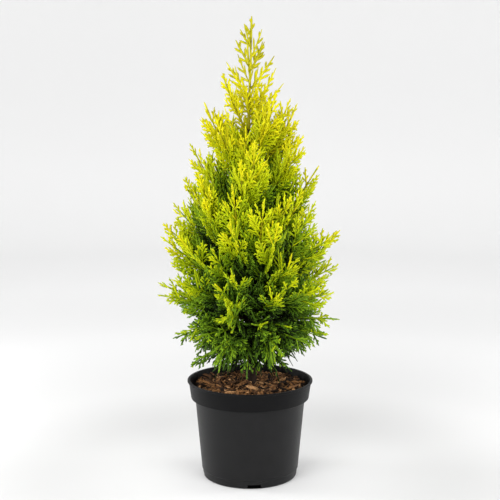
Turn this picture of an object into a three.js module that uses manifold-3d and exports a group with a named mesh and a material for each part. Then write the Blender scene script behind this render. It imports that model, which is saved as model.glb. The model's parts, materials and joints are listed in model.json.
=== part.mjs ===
// A young golden Leyland cypress in a black nursery pot, as an assembly of separate solids.
// Millimetres, +Z up. The origin is the middle of the pot's flat underside, and the front faces -Y.
import * as THREE from "three";
import { mergeVertices } from "three/addons/utils/BufferGeometryUtils.js";
import Module from "manifold-3d";

const wasm = await Module();
wasm.setup();

// Gap that neighbouring solids keep
const GAP = 0.3;

// Pot: a tapered cup with a wide band under its lip and four drain notches at its foot
const POT_HEIGHT = 149;
const POT_SIDES = 40;
const FOOT_RADIUS = 72.2;
const FOOT_FILLET = 4;
const WALL_TOP_RADIUS = 83.3;
const BAND_HEIGHT = 27.4;
const BAND_LOW_RADIUS = 89.4;
const BAND_TOP_RADIUS = 93;
const LIP_RADIUS = 95;
const LIP_HEIGHT = 3;
const LIP_ROUND = 0.8;
const BAND_ROUND = 1.2;
const BAND_STEP = 1;
const WALL = 1.8;
const INNER_STEP = [2, 1];
const FLOOR = 9;
const NOTCHES = 4;
const NOTCH_WIDTH = 20;
const NOTCH_HEIGHT = 6.5;
const NOTCH_DEPTH = 14;
const NOTCH_TURN = -85;

// Potting mix, with flakes of bark bedded in its top
const SOIL_EDGE = 139;
const SOIL_TOP = 142;
const SOIL_SEAT_RADIUS = 15;
const SOIL_SIDES = 28;
const FLAKES = 20;
const FLAKE_LENGTH = [17, 29];
const FLAKE_WIDTH = [8, 13];
const FLAKE_THICK = 4;
const FLAKE_TILT = 13;
const FLAKE_RISE = 1;

// Trunk: one leader, swelling at the ground, with a slight sway
const TIP_HEIGHT = 690;
const TRUNK_FOOT_RADIUS = 5.2;
const TRUNK_TIP_RADIUS = 0.7;
const TRUNK_TAPER = 0.85;
const FLARE = 2.6;
const FLARE_HEIGHT = 9;
const SWAY = [3, 1.5];
const SWAY_TURNS = [1.8, 1];
const TRUNK_SIDES = 9;
const TRUNK_STEPS = 11;
const RING_CROWDING = 1.6;

// Crown: how far the branches reach at each height
const CROWN_RADIUS = 131;
const WAIST_TOP = 366;
const WAIST_LOW = 250;
const SKIRT_FOOT = 150;
const CONE_POWER = 0.8;
const REACH_SHARE = [0.92, 1.07];
const REACH_LEAST = 5;

// Branches: on a spiral round the trunk, drooping at the foot of the crown and steep at its top
const SEED = 75;
const SEED_STEP = 101;
const BRANCHES = 48;
const SPIRAL_START = 192;
const SPIRAL_STEP = 137.508;
const SPIRAL_STRAY = 34;
const LOW_TIP = 158;
const HIGH_TIP = 676;
const TIP_STRAY = 14;
const CROWDING = 0.86;
const PITCH_POWER = 2.6;
const TIP_PITCH = [-50, 70];
const FOOT_PITCH = [-6, 54];
const LOWEST_FOOT = 24;
const FOOT_RISE = 0.97;
const BEND = 0.36;
const ROLL = [50, 130];

// Boughs: the bare feet of the longest branches
const BOUGHS = 8;
const BOUGH_SHARE = 0.24;
const BOUGH_RADIUS = [2.4, 2];
const BOUGH_SIDES = 5;
const BOUGH_STEPS = 3;

// Foliage: a stem along the rest of each branch, two sprays at each of its stations and one at its end
const STEM_RADIUS = [2.2, 1];
const STEM_SHRINK = [0.6, 150];
const STATION_SPACING = 16;
const STATIONS = [4, 8];
const FIRST_STATION = [0.27, 0.4];
const FIRST_CLEAR = 22;
const LAST_STATION = 0.9;
const SPLAY = [56, 34];
const SPLAY_STRAY = 14;
const SPLAY_LEAST = 31;
const TILT = 26;
const TILT_STRAY = 24;
const QUARTER_SWING = 33;
const LIFT = [-0.3, 0.45];
const LIFT_HEIGHTS = [180, 350];
const SPRAY_SHARE = 0.45;
const SPRAY_POWER = 0.8;
const SPRAY_STRAY = [0.85, 1.15];
const SPRAY_LEAST = 7;
const SPRAY_MOST = 70;
const END_SHARE = 0.16;
const END_LEAST = 4;
const END_WIDTH = 0.1;

// Teeth of a spray's edge as [share of its length, share of its half width], from root to point,
// and the least length, in half stations, of a spray that has them
const LONG_TEETH = [[0.34, 1.6], [0.4, 1], [0.7, 0.85], [0.76, 0.42]];
const SHORT_TEETH = [[0.42, 1.5], [0.5, 0.8]];
const EDGES = [
  { teeth: LONG_TEETH, from: 3.5 },
  { teeth: SHORT_TEETH, from: 2 },
  { teeth: [], from: 0 },
];
const WIDTH_SHARE = 0.95;
const FRONT_LEAST = 0.25;
const STEM_ANGLE = 26;
const STEM_CLEAR = 2.5;

// Space that a mass keeps to
const SPACE_MARGIN = 1.6;
const SPRAY_SIZES = [1, 0.85, 0.7, 0.55, 0.4];
const AXIS_STEPS = 12;
const TRUNK_MARGIN = 2;
const SOIL_MARGIN = 9;
const RIM_MARGIN = 3;

const { degToRad, lerp, clamp, euclideanModulo } = THREE.MathUtils;
const UP = new THREE.Vector3(0, 0, 1);

// A small seeded random source, from 0 up to 1.
function seeded(seed) {
  let state = seed >>> 0;
  return () => {
    state = (state + 0x6d2b79f5) >>> 0;
    let t = state;
    t = Math.imul(t ^ (t >>> 15), t | 1);
    t ^= t + Math.imul(t ^ (t >>> 7), t | 61);
    return ((t ^ (t >>> 14)) >>> 0) / 4294967296;
  };
}

// Share from 0 to 1 of the way from low to high.
const shareOf = (value, low, high) => clamp((value - low) / (high - low), 0, 1);

// A closed geometry as a solid that can be joined and cut.
function solidOf(geometry) {
  const bare = geometry.index ? geometry.toNonIndexed() : geometry.clone();
  bare.deleteAttribute("normal");
  bare.deleteAttribute("uv");
  const merged = mergeVertices(bare, 1e-4);
  return new wasm.Manifold(
    new wasm.Mesh({
      numProp: 3,
      vertProperties: merged.attributes.position.array,
      triVerts: new Uint32Array(merged.index.array),
    }),
  );
}

// The largest body of a solid, as a geometry again: a loose scrap is dropped.
function geometryOf(solid) {
  const bodies = solid.decompose().sort((a, b) => b.volume() - a.volume());
  const { vertProperties, triVerts } = bodies[0].getMesh();
  const geometry = new THREE.BufferGeometry();
  geometry.setAttribute("position", new THREE.BufferAttribute(vertProperties, 3));
  geometry.setIndex(new THREE.BufferAttribute(triVerts, 1));
  geometry.computeVertexNormals();
  return geometry;
}

// A body of revolution about Z, from [radius, height] points that start and end on the axis.
function turned(points, sides) {
  const profile = points.map(([radius, height]) => new THREE.Vector2(radius, height));
  return new THREE.LatheGeometry(profile, sides).rotateX(Math.PI / 2);
}

// A tapering limb through stations of { at, side, face, radius }, closed at both ends.
function limbGeometry(stations, sides) {
  const steps = stations.length - 1;
  const geometry = new THREE.CylinderGeometry(1, 1, 1, sides, steps);
  const position = geometry.attributes.position;
  const point = new THREE.Vector3();
  for (let i = 0; i < position.count; i++) {
    const { at, side, face, radius } = stations[Math.round((position.getY(i) + 0.5) * steps)];
    point.copy(at);
    point.addScaledVector(side, position.getX(i) * radius);
    point.addScaledVector(face, -position.getZ(i) * radius);
    position.setXYZ(i, point.x, point.y, point.z);
  }
  return geometry;
}

// Pot

const BAND_LOW = POT_HEIGHT - BAND_HEIGHT;
const STEP_LOW = BAND_LOW - INNER_STEP[0];
const STEP_HIGH = BAND_LOW + INNER_STEP[1];

function innerRadius(height) {
  if (height < BAND_LOW) return lerp(FOOT_RADIUS, WALL_TOP_RADIUS, height / BAND_LOW) - WALL;
  return lerp(BAND_LOW_RADIUS, BAND_TOP_RADIUS, (height - BAND_LOW) / BAND_HEIGHT) - WALL;
}

function potProfile() {
  const lipLow = POT_HEIGHT - LIP_HEIGHT;
  const fillet = [0, 0.5, 1].map((share) => {
    const angle = (share * Math.PI) / 2;
    const radius = FOOT_RADIUS - FOOT_FILLET * (1 - Math.sin(angle));
    return [radius, FOOT_FILLET * (1 - Math.cos(angle))];
  });
  return [
    [0, 0],
    ...fillet,
    [WALL_TOP_RADIUS, BAND_LOW - BAND_STEP],
    [BAND_LOW_RADIUS - BAND_ROUND, BAND_LOW],
    [BAND_LOW_RADIUS, BAND_LOW + BAND_ROUND],
    [BAND_TOP_RADIUS, lipLow],
    [LIP_RADIUS, lipLow + LIP_ROUND],
    [LIP_RADIUS, POT_HEIGHT - LIP_ROUND],
    [LIP_RADIUS - LIP_ROUND, POT_HEIGHT],
    [BAND_TOP_RADIUS - WALL, POT_HEIGHT],
    [innerRadius(STEP_HIGH), STEP_HIGH],
    [innerRadius(STEP_LOW), STEP_LOW],
    [innerRadius(FLOOR), FLOOR],
    [0, FLOOR],
  ];
}

function potGeometry() {
  let pot = solidOf(turned(potProfile(), POT_SIDES));
  for (let i = 0; i < NOTCHES; i++) {
    const notch = new THREE.BoxGeometry(2 * NOTCH_DEPTH, NOTCH_WIDTH, 2 * NOTCH_HEIGHT);
    notch.translate(FOOT_RADIUS, 0, 0);
    notch.rotateZ(degToRad(NOTCH_TURN + (i * 360) / NOTCHES));
    pot = pot.subtract(solidOf(notch));
  }
  return geometryOf(pot);
}

// Potting mix

function mixProfile() {
  const floor = FLOOR + GAP;
  return [
    [0, floor],
    [innerRadius(floor) - GAP, floor],
    [innerRadius(STEP_LOW) - GAP, STEP_LOW],
    [innerRadius(STEP_HIGH) - GAP, STEP_HIGH + GAP],
    [innerRadius(SOIL_EDGE) - GAP, SOIL_EDGE],
    [SOIL_SEAT_RADIUS, SOIL_TOP],
    [0, SOIL_TOP],
  ];
}

// Flakes of bark, spread evenly over the mix by a spiral, each tilted its own way.
function flakeGeometries() {
  const draw = seeded(SEED);
  const inner = SOIL_SEAT_RADIUS + 0.5 * FLAKE_LENGTH[1];
  const outer = innerRadius(SOIL_EDGE) - 0.6 * FLAKE_LENGTH[1];
  return Array.from({ length: FLAKES }, (_, i) => {
    const share = Math.sqrt((i + 0.5) / FLAKES);
    const radius = lerp(inner, outer, share);
    const turn = degToRad(i * SPIRAL_STEP);
    const height = lerp(SOIL_TOP, SOIL_EDGE, share) + FLAKE_RISE;
    const long = lerp(...FLAKE_LENGTH, draw());
    const wide = lerp(...FLAKE_WIDTH, draw());
    const flake = new THREE.BoxGeometry(long, wide, FLAKE_THICK);
    flake.rotateX(degToRad((draw() - 0.5) * 2 * FLAKE_TILT));
    flake.rotateY(degToRad((draw() - 0.5) * 2 * FLAKE_TILT));
    flake.rotateZ(draw() * Math.PI);
    return flake.translate(radius * Math.cos(turn), radius * Math.sin(turn), height);
  });
}

function mixGeometry() {
  const bed = solidOf(turned(mixProfile(), SOIL_SIDES));
  return geometryOf(flakeGeometries().reduce((mix, flake) => mix.add(solidOf(flake)), bed));
}

// Trunk

function trunkAt(height) {
  const share = (height - SOIL_TOP) / (TIP_HEIGHT - SOIL_TOP);
  const x = SWAY[0] * Math.cos(Math.PI * SWAY_TURNS[0] * share);
  const y = SWAY[1] * Math.sin(Math.PI * SWAY_TURNS[1] * share);
  return new THREE.Vector3(x, y, height);
}

function trunkRadius(height) {
  const share = shareOf(height, SOIL_TOP, TIP_HEIGHT);
  const flare = FLARE * Math.exp(-(height - SOIL_TOP) / FLARE_HEIGHT);
  return TRUNK_FOOT_RADIUS * (1 - share) ** TRUNK_TAPER + TRUNK_TIP_RADIUS + flare;
}

// Rings lie level, so the cut at the ground is flat. They crowd towards the flare.
function trunkGeometry(extra = 0) {
  const stations = Array.from({ length: TRUNK_STEPS + 1 }, (_, i) => {
    const height = lerp(SOIL_TOP + GAP, TIP_HEIGHT, (i / TRUNK_STEPS) ** RING_CROWDING);
    return {
      at: trunkAt(height),
      side: new THREE.Vector3(1, 0, 0),
      face: new THREE.Vector3(0, 1, 0),
      radius: trunkRadius(height) + extra,
    };
  });
  return limbGeometry(stations, TRUNK_SIDES);
}

// Branches

function crownRadius(height) {
  if (height >= WAIST_TOP) {
    return CROWN_RADIUS * (1 - shareOf(height, WAIST_TOP, TIP_HEIGHT)) ** CONE_POWER;
  }
  const drop = shareOf(WAIST_LOW - height, 0, WAIST_LOW - SKIRT_FOOT);
  return CROWN_RADIUS * Math.sqrt(1 - drop * drop);
}

function heading(turn, pitch) {
  const level = Math.cos(pitch);
  return new THREE.Vector3(Math.cos(turn) * level, Math.sin(turn) * level, Math.sin(pitch));
}

// Branch number index, counted from the foot of the crown: its curve, its roll and its random source.
function branchOf(index) {
  const draw = seeded(SEED + SEED_STEP * index);
  const climb = 1 - (1 - (index + 0.5) / BRANCHES) ** CROWDING;
  const tipHeight = lerp(LOW_TIP, HIGH_TIP, climb) + (draw() - 0.5) * TIP_STRAY;
  const turn = degToRad(SPIRAL_START + SPIRAL_STEP * index + (draw() - 0.5) * SPIRAL_STRAY);
  const reach = Math.max(REACH_LEAST, crownRadius(tipHeight) * lerp(...REACH_SHARE, draw()));
  const steep = 1 - (1 - shareOf(tipHeight, LOW_TIP, HIGH_TIP)) ** PITCH_POWER;
  const tipPitch = degToRad(lerp(...TIP_PITCH, steep));
  const footPitch = degToRad(lerp(...FOOT_PITCH, steep));
  const drop = reach * Math.tan((tipPitch + footPitch) / 2) * FOOT_RISE;
  const foot = trunkAt(Math.max(SOIL_TOP + LOWEST_FOOT, tipHeight - drop));
  const tip = new THREE.Vector3(reach * Math.cos(turn), reach * Math.sin(turn), tipHeight);
  const span = foot.distanceTo(tip);
  const curve = new THREE.CubicBezierCurve3(
    foot,
    foot.clone().addScaledVector(heading(turn, footPitch), BEND * span),
    tip.clone().addScaledVector(heading(turn, tipPitch), -BEND * span),
    tip,
  );
  const roll = degToRad(lerp(...ROLL, draw()));
  return { index, curve, turn, span, roll, draw, tipHeight };
}

// A branch at a share of its length: the point, and the ways along it, across it and off its flat side.
function frameAt(branch, share) {
  const axis = branch.curve.getTangent(share);
  const level = new THREE.Vector3(-Math.sin(branch.turn), Math.cos(branch.turn), 0);
  const off = axis.clone().cross(level).normalize();
  const across = off.clone().cross(axis);
  const side = across.multiplyScalar(Math.cos(branch.roll)).addScaledVector(off, Math.sin(branch.roll));
  return { at: branch.curve.getPoint(share), axis, side, face: axis.clone().cross(side) };
}

const branches = Array.from({ length: BRANCHES }, (_, i) => branchOf(i));
const longest = [...branches].sort((a, b) => b.span - a.span).slice(0, BOUGHS);
const hasBough = (branch) => longest.includes(branch);
const trunkClearance = solidOf(trunkGeometry(GAP));

function boughGeometry(branch) {
  const stations = Array.from({ length: BOUGH_STEPS + 1 }, (_, i) => ({
    ...frameAt(branch, (BOUGH_SHARE * i) / BOUGH_STEPS),
    radius: lerp(...BOUGH_RADIUS, i / BOUGH_STEPS),
  }));
  return geometryOf(solidOf(limbGeometry(stations, BOUGH_SIDES)).subtract(trunkClearance));
}

// Foliage

// Shares of a branch's length that its stations lie between.
function stationShares({ span }) {
  const first = clamp(FIRST_CLEAR / span, ...FIRST_STATION);
  const count = clamp(Math.floor((span * (LAST_STATION - first)) / STATION_SPACING + 0.5), ...STATIONS);
  return Array.from({ length: count + 1 }, (_, i) => lerp(first, LAST_STATION, i / count));
}

// A way off the stem, turned as far as it needs to stand off it and to lie well inside a quarter of it.
function intoQuarter(way, { axis, side, face }, quarter) {
  const along = Math.min(way.dot(axis), Math.cos(degToRad(SPLAY_LEAST)));
  const out = Math.sqrt(1 - along * along);
  const middle = ((quarter + 0.5) * Math.PI) / 2;
  const turn = Math.atan2(way.dot(face), way.dot(side));
  const swing = degToRad(QUARTER_SWING);
  const off = middle + clamp(euclideanModulo(turn - middle + Math.PI, 2 * Math.PI) - Math.PI, -swing, swing);
  const kept = axis.clone().multiplyScalar(along);
  return kept.addScaledVector(side, out * Math.cos(off)).addScaledVector(face, out * Math.sin(off));
}

// The two sprays at a station spring from opposite quarters of the stem, and the quarters alternate.
function shootsOf(branch) {
  const { curve, span, draw, tipHeight } = branch;
  const shares = stationShares(branch);
  const lift = lerp(...LIFT, shareOf(tipHeight, ...LIFT_HEIGHTS));
  return shares.slice(1).flatMap((high, station) =>
    [station % 2, (station % 2) + 2].map((quarter) => {
      const low = shares[station];
      const share = (low + high) / 2;
      const frame = frameAt(branch, share);
      const { at, axis, side, face } = frame;
      const splay = degToRad(lerp(...SPLAY, share) + (draw() - 0.5) * SPLAY_STRAY);
      const tilt = degToRad(TILT + (draw() - 0.5) * TILT_STRAY) * (quarter < 2 ? 1 : -1);
      const hand = quarter === 0 || quarter === 3 ? 1 : -1;
      const out = side.clone().multiplyScalar(Math.cos(tilt) * hand).addScaledVector(face, Math.sin(tilt));
      const free = axis.clone().multiplyScalar(Math.cos(splay)).addScaledVector(out, Math.sin(splay));
      const way = intoQuarter(free.addScaledVector(UP, lift).normalize(), frame, quarter);
      const shrink = SPRAY_SHARE * (1 - share) ** SPRAY_POWER * lerp(...SPRAY_STRAY, draw());
      const length = Math.min(SPRAY_MOST, span * shrink + SPRAY_LEAST);
      const half = curve.getPoint(low).distanceTo(curve.getPoint(high)) / 2;
      return { station, quarter, at, axis, way, length, half };
    }),
  );
}

// Points of a toothed outline from its rear root round the point to its front root.
function outline(at, way, across, length, [rear, front], teeth) {
  const place = (x, y) => at.clone().addScaledVector(way, x).addScaledVector(across, y);
  const edge = (halfWidth) => teeth.map(([along, out]) => place(along * length, out * halfWidth));
  return [...edge(-rear), place(length, 0), ...edge(front).reverse()];
}

// A spray's front edge is narrower where it would come near the stem ahead of its root. If hardly any width
// is left there, the spray has fewer teeth.
function sprayOutline({ at, axis, way, length, half }, size) {
  const cos = axis.dot(way);
  const across = axis.clone().addScaledVector(way, -cos);
  const sin = across.length();
  const long = length * size;
  const rear = WIDTH_SHARE * half * sin;
  const slope = Math.tan(Math.acos(cos) - degToRad(STEM_ANGLE));
  const nearest = [half * cos + STEM_CLEAR * sin, half * sin - STEM_CLEAR * cos];
  const limit = ([along, out]) => (nearest[1] + (along * long - nearest[0]) * slope) / out;
  const frontOf = (teeth) => Math.min(rear, ...teeth.map(limit));
  const fits = ({ teeth, from }) => long >= from * half && frontOf(teeth) >= FRONT_LEAST * rear;
  const { teeth } = EDGES.find(fits);
  return outline(at, way, across.normalize(), long, [rear, frontOf(teeth)], teeth);
}

// Lines along every branch, to tell which one a point is nearest to.
const axisLines = branches.map(({ curve }) => {
  const points = curve.getPoints(AXIS_STEPS);
  return points.slice(1).map((point, i) => new THREE.Line3(points[i], point));
});
const closest = new THREE.Vector3();

function distanceTo(lines, point) {
  const distances = lines.map((line) => line.closestPointToPoint(point, true, closest).distanceTo(point));
  return Math.min(...distances);
}

// A mass keeps to the points that are nearer to its own branch than to any other, clear of trunk and pot.
function inOwnSpace(point, branch) {
  if (point.z < POT_HEIGHT + RIM_MARGIN) {
    const fromAxis = Math.hypot(point.x, point.y);
    if (point.z < SOIL_TOP + SOIL_MARGIN || fromAxis > innerRadius(SOIL_EDGE) - RIM_MARGIN) return false;
  }
  if (point.distanceTo(trunkAt(point.z)) < trunkRadius(point.z) + TRUNK_MARGIN) return false;
  const own = distanceTo(axisLines[branch.index], point);
  return axisLines.every((lines, i) => i === branch.index || distanceTo(lines, point) > own + SPACE_MARGIN);
}

// The largest size of a shoot's spray that keeps to its mass's space, if any does.
function fittedSpray(shoot, branch) {
  const sizes = SPRAY_SIZES.map((size) => sprayOutline(shoot, size));
  return sizes.find((points) => points.every((point) => inOwnSpace(point, branch)));
}

// A mass as one closed surface: a four-sided stem whose quarters open out into sprays.
function massGeometry(branch) {
  const shares = stationShares(branch);
  const root = hasBough(branch) ? [BOUGH_SHARE + GAP / branch.span] : [0, shares[0] / 2];
  const thin = lerp(STEM_SHRINK[0], 1, clamp(branch.span / STEM_SHRINK[1], 0, 1));
  const points = [];
  const faces = [];
  const add = (point) => points.push(point.x, point.y, point.z) / 3 - 1;
  const join = (...corners) => faces.push(...corners);

  const rings = [...root, ...shares].map((share) => {
    const { at, side, face } = frameAt(branch, share);
    const radius = thin * lerp(...STEM_RADIUS, share);
    const ways = [side, face, side.clone().negate(), face.clone().negate()];
    return ways.map((way) => add(at.clone().addScaledVector(way, radius)));
  });
  const sprays = new Map();
  shootsOf(branch).forEach((shoot) => {
    const fitted = fittedSpray(shoot, branch);
    if (fitted) sprays.set(`${shoot.station + root.length}:${shoot.quarter}`, fitted);
  });

  // Sides of the stem: a plain quarter, or a spray whose two faces meet along its outline
  for (let ring = 0; ring + 1 < rings.length; ring++) {
    for (let quarter = 0; quarter < 4; quarter++) {
      const next = (quarter + 1) % 4;
      const [a, b] = [rings[ring][quarter], rings[ring][next]];
      const [c, d] = [rings[ring + 1][quarter], rings[ring + 1][next]];
      const spray = sprays.get(`${ring}:${quarter}`);
      if (!spray) {
        join(a, b, d, a, d, c);
        continue;
      }
      const rim = spray.map(add);
      const point = (rim.length - 1) / 2;
      join(a, b, rim[0], d, c, rim.at(-1));
      join(b, d, rim[point], c, a, rim[point]);
      for (let i = 0; i + 1 < rim.length; i++) {
        join(i < point ? b : d, rim[i + 1], rim[i]);
        join(i < point ? a : c, rim[i], rim[i + 1]);
      }
    }
  }

  // Flat cut at the root, and an end spray that stands square to the last pair
  const [foot, last] = [rings[0], rings.at(-1)];
  join(foot[0], foot[3], foot[2], foot[0], foot[2], foot[1]);
  const { at, axis, face } = frameAt(branch, LAST_STATION);
  const endLength = branch.span * END_SHARE + END_LEAST;
  const endHalf = END_WIDTH * endLength;
  const end = outline(at, axis, face.negate(), endLength, [endHalf, endHalf], LONG_TEETH).map(add);
  join(last[1], last[2], end[0], last[2], last[3], end.at(-1));
  join(last[3], last[0], end.at(-1), last[0], last[1], end[0]);
  for (let i = 0; i + 1 < end.length; i++) {
    join(last[2], end[i + 1], end[i]);
    join(last[0], end[i], end[i + 1]);
  }

  const geometry = new THREE.BufferGeometry();
  geometry.setAttribute("position", new THREE.Float32BufferAttribute(points, 3));
  geometry.setIndex(faces);
  return geometryOf(solidOf(geometry).subtract(trunkClearance));
}

// Materials

const plain = (color, roughness) => new THREE.MeshStandardMaterial({ color, roughness, metalness: 0 });
const black = plain(0x262627, 0.55);
const mulch = plain(0x5a3a22, 0.95);
const bark = plain(0x4a3222, 0.9);
const gold = plain(0xc2c018, 0.6);
const green = plain(0x5d8a1c, 0.6);

// Assembly

const plant = new THREE.Group();

function addNode(name, geometry, material) {
  const mesh = new THREE.Mesh(geometry, material);
  mesh.name = name;
  plant.add(mesh);
}

const number = (index) => String(index + 1).padStart(2, "0");
addNode("pot", potGeometry(), black);
addNode("potting_mix", mixGeometry(), mulch);
addNode("trunk", trunkGeometry(), bark);
branches.forEach((branch) => {
  if (hasBough(branch)) addNode(`bough_${number(branch.index)}`, boughGeometry(branch), bark);
  const tint = branch.tipHeight > WAIST_LOW ? gold : green;
  addNode(`foliage_${number(branch.index)}`, massGeometry(branch), tint);
});

export default plant;
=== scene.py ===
# Looks of a young golden Leyland cypress in a black nursery pot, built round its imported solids.
# Sizes are millimetres and degrees, as in the part's source. Meshes are scaled to metres when they are made.
# Most pairs of values are the two ends of a range, or of a change along a limb or up the crown.
import json
import math
from dataclasses import dataclass, fields, replace
from itertools import product

import bpy
import numpy as np
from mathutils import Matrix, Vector, noise

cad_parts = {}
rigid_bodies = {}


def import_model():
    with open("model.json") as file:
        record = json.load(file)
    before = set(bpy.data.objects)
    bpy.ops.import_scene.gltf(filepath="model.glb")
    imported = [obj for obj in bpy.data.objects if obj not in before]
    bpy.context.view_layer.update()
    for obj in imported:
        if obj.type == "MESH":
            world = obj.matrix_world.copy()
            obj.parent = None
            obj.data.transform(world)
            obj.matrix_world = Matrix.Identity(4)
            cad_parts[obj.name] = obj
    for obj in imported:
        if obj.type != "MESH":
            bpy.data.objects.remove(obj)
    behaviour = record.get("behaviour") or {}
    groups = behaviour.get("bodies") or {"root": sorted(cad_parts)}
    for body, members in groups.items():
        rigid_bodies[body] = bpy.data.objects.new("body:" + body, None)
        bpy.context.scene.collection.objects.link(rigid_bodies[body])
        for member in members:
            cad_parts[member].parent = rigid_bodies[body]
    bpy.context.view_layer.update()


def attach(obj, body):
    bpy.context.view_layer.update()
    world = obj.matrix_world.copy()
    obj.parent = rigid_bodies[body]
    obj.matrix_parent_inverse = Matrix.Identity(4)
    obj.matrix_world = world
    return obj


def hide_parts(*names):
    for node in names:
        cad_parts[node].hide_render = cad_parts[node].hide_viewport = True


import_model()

MM = 0.001
UP = np.array([0.0, 0.0, 1.0])
EAST = np.array([1.0, 0.0, 0.0])
SCENE = bpy.context.scene

# Pot
POT_HEIGHT = 149
POT_SIDES = 192
FOOT_RADIUS = 72.2
FOOT_FILLET = 4
FOOT_STEP_HEIGHT = 13
FOOT_STEP_IN = 1.1
FOOT_STEP_ROUND = 0.4
WALL_TOP_RADIUS = 83.3
BAND_HEIGHT = 27.4
BAND_LOW = POT_HEIGHT - BAND_HEIGHT
BAND_LOW_RADIUS = 89.4
BAND_TOP_RADIUS = 93
BAND_STEP = 1
BAND_ROUND = (1, 1.2)
LIP_RADIUS = 95
LIP_HEIGHT = 3
LIP_SLOPE = 0.4
LIP_UNDER_ROUND = 0.7
LIP_EDGE_ROUND = (0.8, 0.9)
LIP_INNER_ROUND = 0.8
WALL = 1.8
INNER_STEP_LOW = 2
INNER_STEP_HIGH = 1
INNER_ROUND = 1
FLOOR = 9
FLOOR_ROUND = 2
ROUND_STEPS = 5
SHARP_ANGLE = 40
NOTCHES = 4
NOTCH_WIDTH = 20
NOTCH_HEIGHT = 6.5
NOTCH_DEPTH = 14
NOTCH_TURN = -85
NOTCH_SILL = 0.7

# Potting mix
SOIL_EDGE = 139
SOIL_TOP = 142
SOIL_SEAT_RADIUS = 15
BED_DROP = 3
BED_DEPTH = 14
BED_RINGS = 26
BED_SIDES = 96
BED_MIDDLE = 2
BED_TOP_GAP = 0.2
BED_FOOT_GAP = 0.4
BED_EVEN_RIM = 0.1
BED_ROUGH = 2.4
BED_LUMPS = 0.15

# Bark chips on the mix. A kind is a number of chips, their length, slenderness, thickness and most tilt
CHIP_SEED = 11
CHIP_CORNERS = 7
CHIP_KINDS = (
    (100, (6, 12), (0.25, 0.5), (1, 2.2), 50),
    (130, (12, 22), (0.16, 0.36), (1.4, 3), 40),
    (44, (20, 36), (0.12, 0.28), (2, 4), 28),
    (100, (10, 28), (0.05, 0.1), (0.8, 1.5), 45),
)
# A tint is a name, a colour and how many chips it has for each one of a kind's number
CHIP_TINTS = (
    # Partly the bark's own dark brown, partly painted shade: the colour of the shade between the chips
    ("dark", "#1d130c", 1.1),
    ("brown", "#4c3421", 1.3),
    ("tan", "#7a5533", 0.9),
    ("pale", "#ab8157", 0.35),
)
CHIP_SHADES = (0.55, 1.25)
CHIP_CORNER_STRAY = 0.3
CHIP_JAG = (0.7, 1.15)
CHIP_BOW = (-0.12, 0.2)
CHIP_EDGE = (0.6, 1.1)
CHIP_TOP = 0.8
CHIP_CREST = (0.9, 1.4)
CHIP_AREA = (0.006, 1)
CHIP_GAP = 1
CHIP_RISE = 4.5

# Trunk. Its sway, and the half turns of that over its height, are given to the right and to the back
TIP_HEIGHT = 690
TRUNK_FOOT_RADIUS = 5.2
TRUNK_TIP_RADIUS = 0.7
TRUNK_TAPER = 0.85
FLARE = 2.6
FLARE_HEIGHT = 9
SWAY = (3, 1.5)
SWAY_TURNS = (1.8, 1)
TRUNK_SIDES = 40
TRUNK_ROW = 1.5
GREEN_LEADER = 525
LEADER_SIDES = 10
LEADER_ROW = 4.5

# Bark relief: its depth, then the scale across a limb, the scale along it and the share of each pattern
BARK_RELIEF = 0.09
RIDGES = (0.9, 0.11, 1.6)
CRACKS = (1.3, 0.5, 0.9)

# Crown
CROWN_RADIUS = 131
WAIST_TOP = 366
WAIST_LOW = 250
SKIRT_FOOT = 150
CONE_POWER = 0.8
REACH_SHARE = (0.92, 1.07)
REACH_LEAST = 5

# Branches
SEED = 75
SEED_STEP = 101
BRANCHES = 48
SPIRAL_START = 192
SPIRAL_STEP = 137.508
SPIRAL_STRAY = 34
LOW_TIP = 158
HIGH_TIP = 676
TIP_STRAY = 14
CROWDING = 0.86
PITCH_POWER = 2.6
TIP_PITCH = (-50, 70)
FOOT_PITCH = (-6, 54)
LOWEST_FOOT = 24
FOOT_RISE = 0.97
BEND = 0.36
ROLL = (50, 130)

# Finer branches inside the crown, between the source's own
FINER_SEED = 7001
FINER_BRANCHES = 165
FINER_CROWDING = 0.56
FINER_TIPS = (168, 610)
FINER_START = 40
FINER_REACH = (0.36, 1.02)
FINER_UPRIGHT = (0, 14)
FINER_ROLL = (-50, 50)
FINER_FIRST = (0.1, 0.22)

# Low branches that hang round the foot of the trunk
SKIRT_SEED = 8003
SKIRT_BRANCHES = 30
SKIRT_CROWDING = 0.6
SKIRT_TIPS = (153, 195)
SKIRT_REACH = (0.35, 0.95)
SKIRT_UPRIGHT = (-32, -10)
SKIRT_NODES = 8

# Boughs and stems
BOUGHS = 8
BOUGH_SHARE = 0.24
BOUGH_RADIUS = (2.4, 2)
BOUGH_STEPS = 26
BOUGH_SIDES = 16
STEM_RADIUS = (2.2, 0.7)
STEM_THINNEST = 0.6
STEM_FULL_SPAN = 150
STEM_STEPS = 18
STEM_SIDES = 7
STEM_END = 0.9
BROWN_SHARE = 0.5
BROWN_HEIGHTS = (440, 560)
OLIVE_STEMS = 420

# Shoots: the source's sprays, and others from the quarters that it leaves plain
STATION_SPACING = 16
STATIONS = (4, 8)
FIRST_STATION = (0.27, 0.4)
FIRST_CLEAR = 22
LAST_STATION = 0.9
SPLAY = (56, 34)
SPLAY_STRAY = 14
SPLAY_LEAST = 31
TILT = 26
TILT_STRAY = 24
QUARTER_SWING = 33
LIFT = (-0.3, 0.45)
LIFT_HEIGHTS = (180, 350)
SPRAY_SHARE = 0.45
SPRAY_POWER = 0.8
SPRAY_STRAY = (0.85, 1.15)
SPRAY_LEAST = 7
SLIM_SPAN = 105
SPRAY_SPAN = 90
SPRAY_MOST = 70
END_SHARE = 0.16
END_LEAST = 4
OWN_PLACE = 0.5
OTHER_PLACE = 0.95
OTHER_TO = 0.72
SHOOT_BEND = 0.2
SHOOT_RADIUS = (1.25, 1.6)
SHOOT_POINT = 0.4
SHOOT_STEPS = 6
SHOOT_SIDES = 4

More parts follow.
